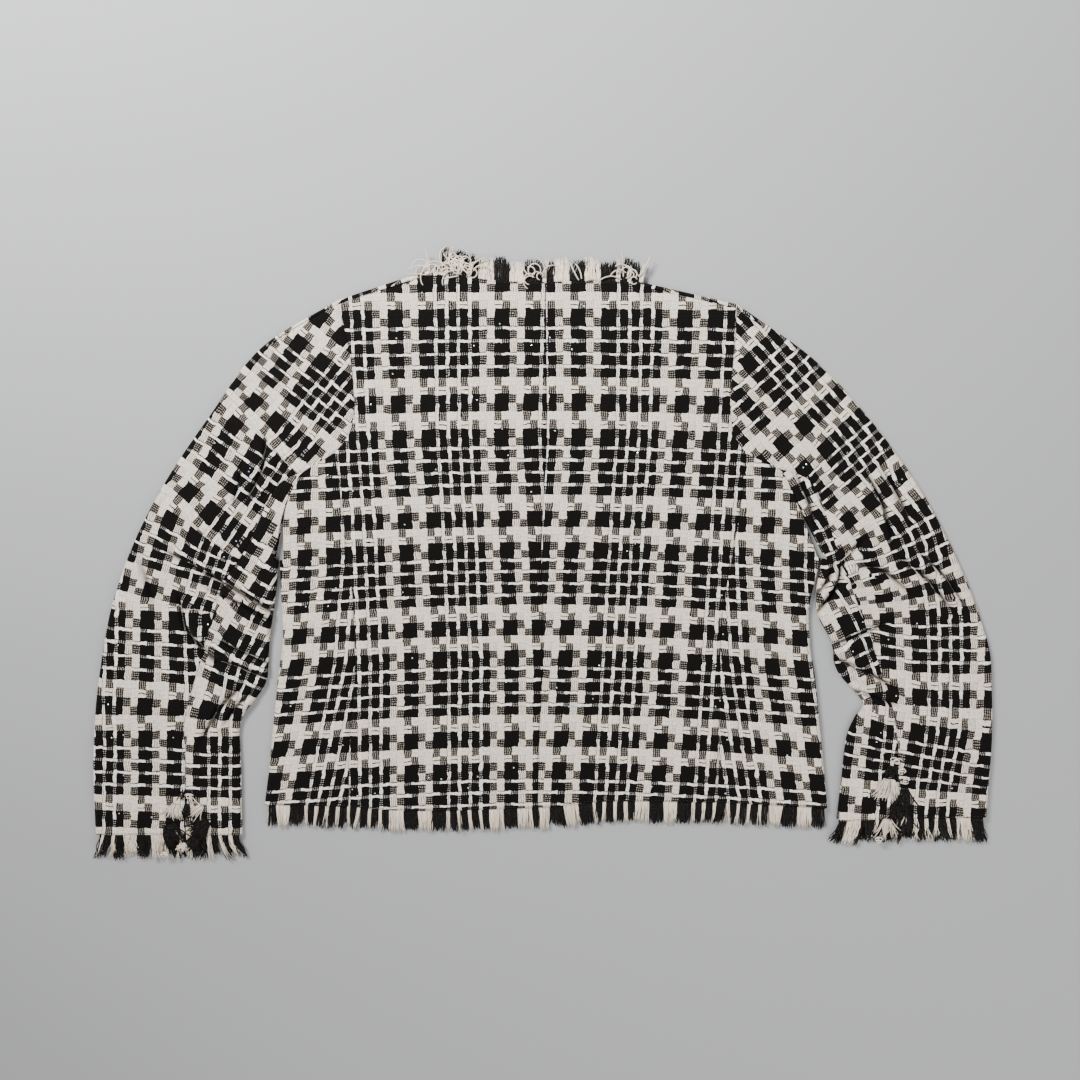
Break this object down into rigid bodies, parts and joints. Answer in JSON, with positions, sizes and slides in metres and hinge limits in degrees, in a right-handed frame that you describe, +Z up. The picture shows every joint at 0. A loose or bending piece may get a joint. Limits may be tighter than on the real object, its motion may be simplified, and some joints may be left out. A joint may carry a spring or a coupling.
{
  "type": "cropped tweed jacket",
  "caption": "Cropped collarless jacket in check tweed with frayed edges, laid out face down with its back up and its long sleeves spread.",
  "frame": {"origin": "centre of the bounding box in plan, on the surface that the garment lies on", "axes": "+X across the garment to the wearer's right sleeve, +Y from hem to neck, +Z up from the surface through the back"},
  "size_m": [0.8134, 0.5494, 0.0128],
  "materials": {
    "tweed": "black and off-white check tweed with small iridescent sequins",
    "fringe": "frayed tweed yarns, black and off-white"
  },
  "bodies": {
    "root": {"back_centre_left": "tweed", "back_centre_right": "tweed", "side_left": "tweed", "side_right": "tweed", "front_left": "tweed", "front_right": "tweed", "sleeve_upper_left": "tweed", "sleeve_upper_right": "tweed", "sleeve_under_left": "tweed", "sleeve_under_right": "tweed", "hem_fringe_back": "fringe", "hem_fringe_front_left": "fringe", "hem_fringe_front_right": "fringe", "neck_fringe_back": "fringe", "neck_fringe_front_left": "fringe", "neck_fringe_front_right": "fringe", "cuff_fringe_back_left": "fringe", "cuff_fringe_back_right": "fringe", "cuff_fringe_front_left": "fringe", "cuff_fringe_front_right": "fringe", "vent_fringe_left": "fringe", "vent_fringe_right": "fringe"}
  },
  "joints": []
}
